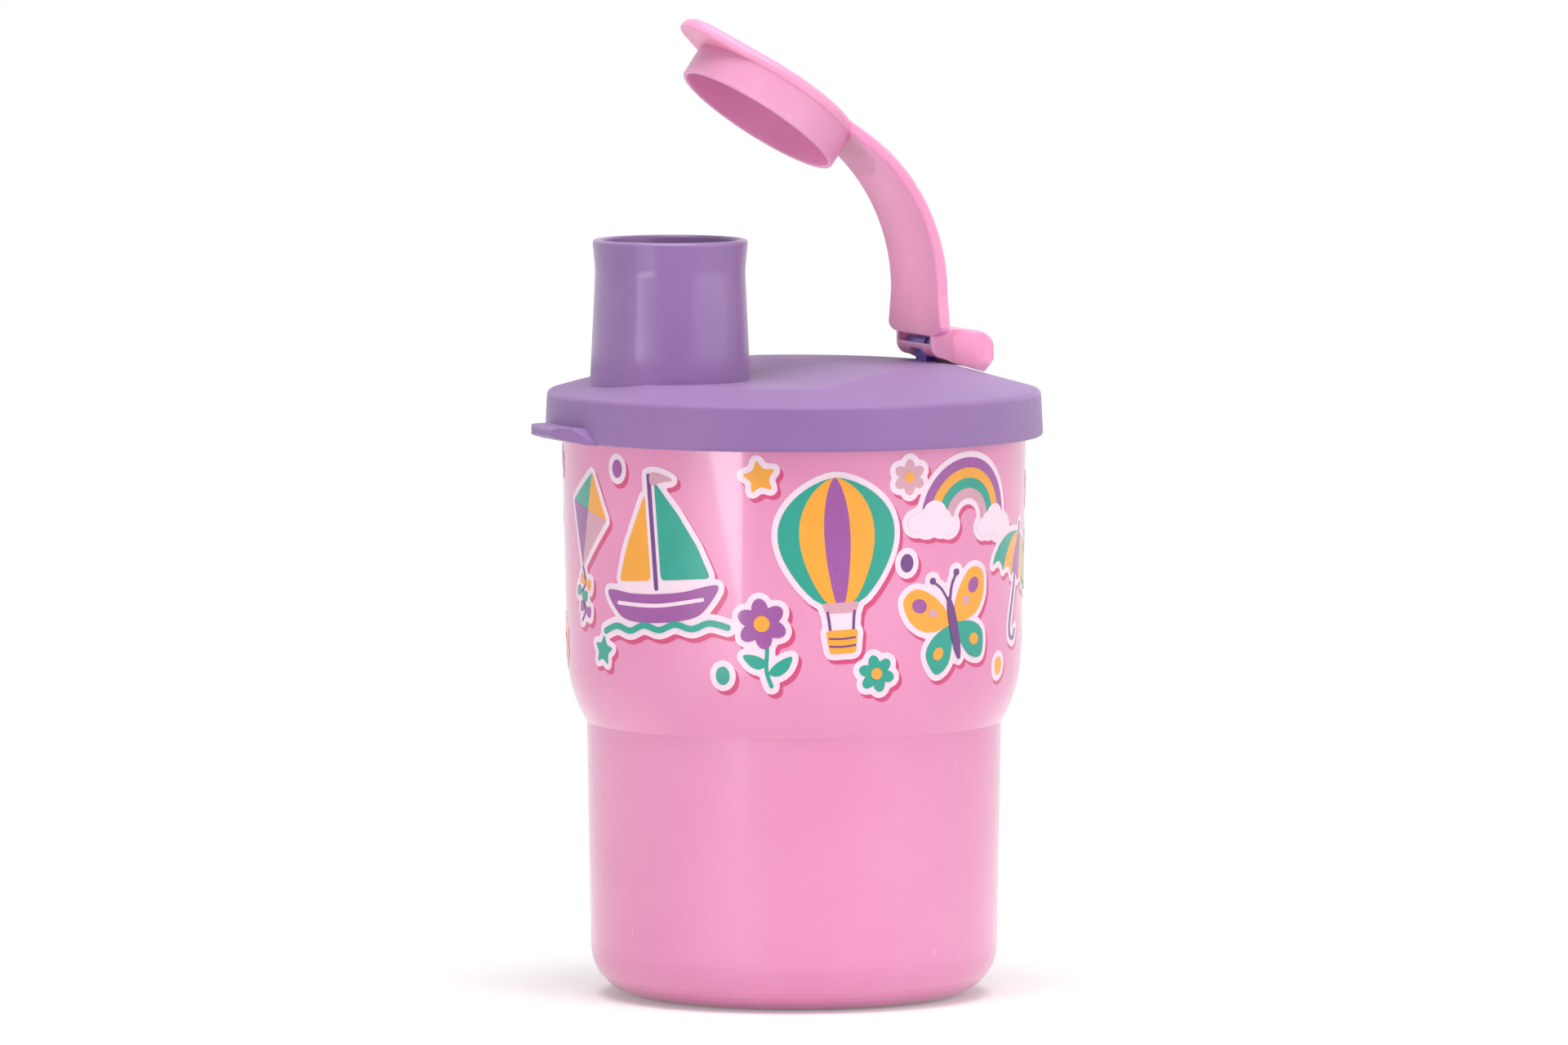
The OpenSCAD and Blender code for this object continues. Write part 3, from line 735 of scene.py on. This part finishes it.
def seenRays(tree):  # 1 for rays that show the background: from the camera, or by gloss or glass
    rays = addNode(tree, "ShaderNodeLightPath", (-800, -400))
    first = addNode(tree, "ShaderNodeMath", (-500, -400), operation="MAXIMUM")
    both = addNode(tree, "ShaderNodeMath", (-300, -400), operation="MAXIMUM")
    tree.links.new(rays.outputs["Is Camera Ray"], first.inputs[0])
    tree.links.new(rays.outputs["Is Glossy Ray"], first.inputs[1])
    tree.links.new(first.outputs["Value"], both.inputs[0])
    tree.links.new(rays.outputs["Is Transmission Ray"], both.inputs[1])
    return both.outputs["Value"]


def addFloor():
    build = bmesh.new()
    bmesh.ops.create_grid(build, x_segments=8, y_segments=8, size=studio["floorSize"] / 2)
    mesh = bpy.data.meshes.new("floorSheet")
    build.to_mesh(mesh)
    build.free()
    floor = bpy.data.objects.new("floorSheet", mesh)
    bpy.context.scene.collection.objects.link(floor)
    material, tree = newMaterial("floorPaper")
    out = addNode(tree, "ShaderNodeOutputMaterial", (900, 0))
    lit = addNode(tree, "ShaderNodeBsdfPrincipled", (300, 200))
    setInputs(lit, Base_Color=studio["floorColour"], Roughness=studio["floorRoughness"])
    plain = addNode(tree, "ShaderNodeEmission", (300, -200))
    lift = addNode(tree, "ShaderNodeEmission", (300, 350))
    raised = addNode(tree, "ShaderNodeAddShader", (500, 250))
    amount = addNode(tree, "ShaderNodeMath", (100, 350), operation="MULTIPLY")
    amount.inputs[1].default_value = studio["floorLift"]
    where = addNode(tree, "ShaderNodeTexCoord", (-800, 0))
    reach = addNode(tree, "ShaderNodeVectorMath", (-600, 0), operation="LENGTH")
    fade = addNode(tree, "ShaderNodeMapRange", (-400, 0), interpolation_type="SMOOTHSTEP")
    setInputs(fade, From_Min=studio["shadowFrom"], From_Max=studio["shadowTo"])
    seen = seenRays(tree)
    both = addNode(tree, "ShaderNodeMath", (0, 0), operation="MULTIPLY")
    mix = addNode(tree, "ShaderNodeMixShader", (600, 0))
    link = tree.links.new
    link(where.outputs["Object"], reach.inputs[0])
    link(reach.outputs["Value"], fade.inputs["Value"])
    link(fade.outputs["Result"], both.inputs[0])
    link(seen, both.inputs[1])
    link(both.outputs["Value"], mix.inputs[0])
    link(seen, amount.inputs[0])
    link(amount.outputs["Value"], lift.inputs["Strength"])
    link(lit.outputs["BSDF"], raised.inputs[0])
    link(lift.outputs["Emission"], raised.inputs[1])
    link(raised.outputs["Shader"], mix.inputs[1])
    link(plain.outputs["Emission"], mix.inputs[2])
    link(mix.outputs["Shader"], out.inputs["Surface"])
    mesh.materials.append(material)


def addWorld():
    world = bpy.data.worlds.new("whiteStudio")
    world.use_nodes = True
    tree = world.node_tree
    tree.nodes.clear()
    out = addNode(tree, "ShaderNodeOutputWorld", (600, 0))
    light = addNode(tree, "ShaderNodeBackground", (100, 150))
    setInputs(light, Color=(1, 1, 1, 1), Strength=studio["ambient"])
    show = addNode(tree, "ShaderNodeBackground", (100, -150))
    setInputs(show, Color=(1, 1, 1, 1), Strength=1.0)
    mix = addNode(tree, "ShaderNodeMixShader", (350, 0))
    tree.links.new(seenRays(tree), mix.inputs[0])
    tree.links.new(light.outputs["Background"], mix.inputs[1])
    tree.links.new(show.outputs["Background"], mix.inputs[2])
    tree.links.new(mix.outputs["Shader"], out.inputs["Surface"])
    bpy.context.scene.world = world


# degrees round from the camera (right is positive), metres, watts; spread and roll in degrees
lamps = {
    "strapStrip": {   # with a grid, on the inner side of the strap alone
        "around": -36, "away": 0.5, "height": 0.210, "aim": (0.019, 0, 0.131),
        "width": 0.015, "tall": 0.032, "watts": 0.0009, "spread": 3.0,
    },
    "leverStrip": {   # with a grid, on the lever behind the hinge
        "around": 20, "away": 0.5, "height": 0.165, "aim": (0.035, -0.006, 0.1130),
        "width": 0.014, "tall": 0.012, "watts": 0.00055, "spread": 3.6,
    },
    "rimBox": {
        "around": -38, "away": 0.55, "height": 0.075,
        "width": 0.27, "tall": 0.09, "watts": 0.62, "roll": -14,
    },
    "fillBox": {
        "around": 64, "away": 0.85, "height": 0.34,
        "width": 1.0, "tall": 0.70, "watts": 3.4,
    },
    "topBox": {
        "around": 0, "away": 0.22, "height": 1.2,
        "width": 1.0, "tall": 1.0, "watts": 15.6,
    },
}
lampAim = (0, 0, 0.09)   # where none is set


def addLamp(name, setting):
    data = bpy.data.lights.new(name, "AREA")
    data.shape = "RECTANGLE"
    data.size, data.size_y = setting["width"], setting["tall"]
    data.energy = setting["watts"]
    if "spread" in setting:
        data.spread = math.radians(setting["spread"])
    lamp = bpy.data.objects.new(name, data)
    level = outward(math.radians(setting["around"])) * setting["away"]
    lamp.location = level + Vector((0, 0, setting["height"]))
    aim = Vector(setting.get("aim", lampAim)) - lamp.location
    lamp.rotation_euler = aim.to_track_quat("-Z", "Y").to_euler()
    lamp.rotation_euler.rotate_axis("Z", math.radians(setting.get("roll", 0)))
    lamp.visible_camera = False
    bpy.context.scene.collection.objects.link(lamp)


addFloor()
addWorld()
for name, setting in lamps.items():
    addLamp(name, setting)
print("studio lit")
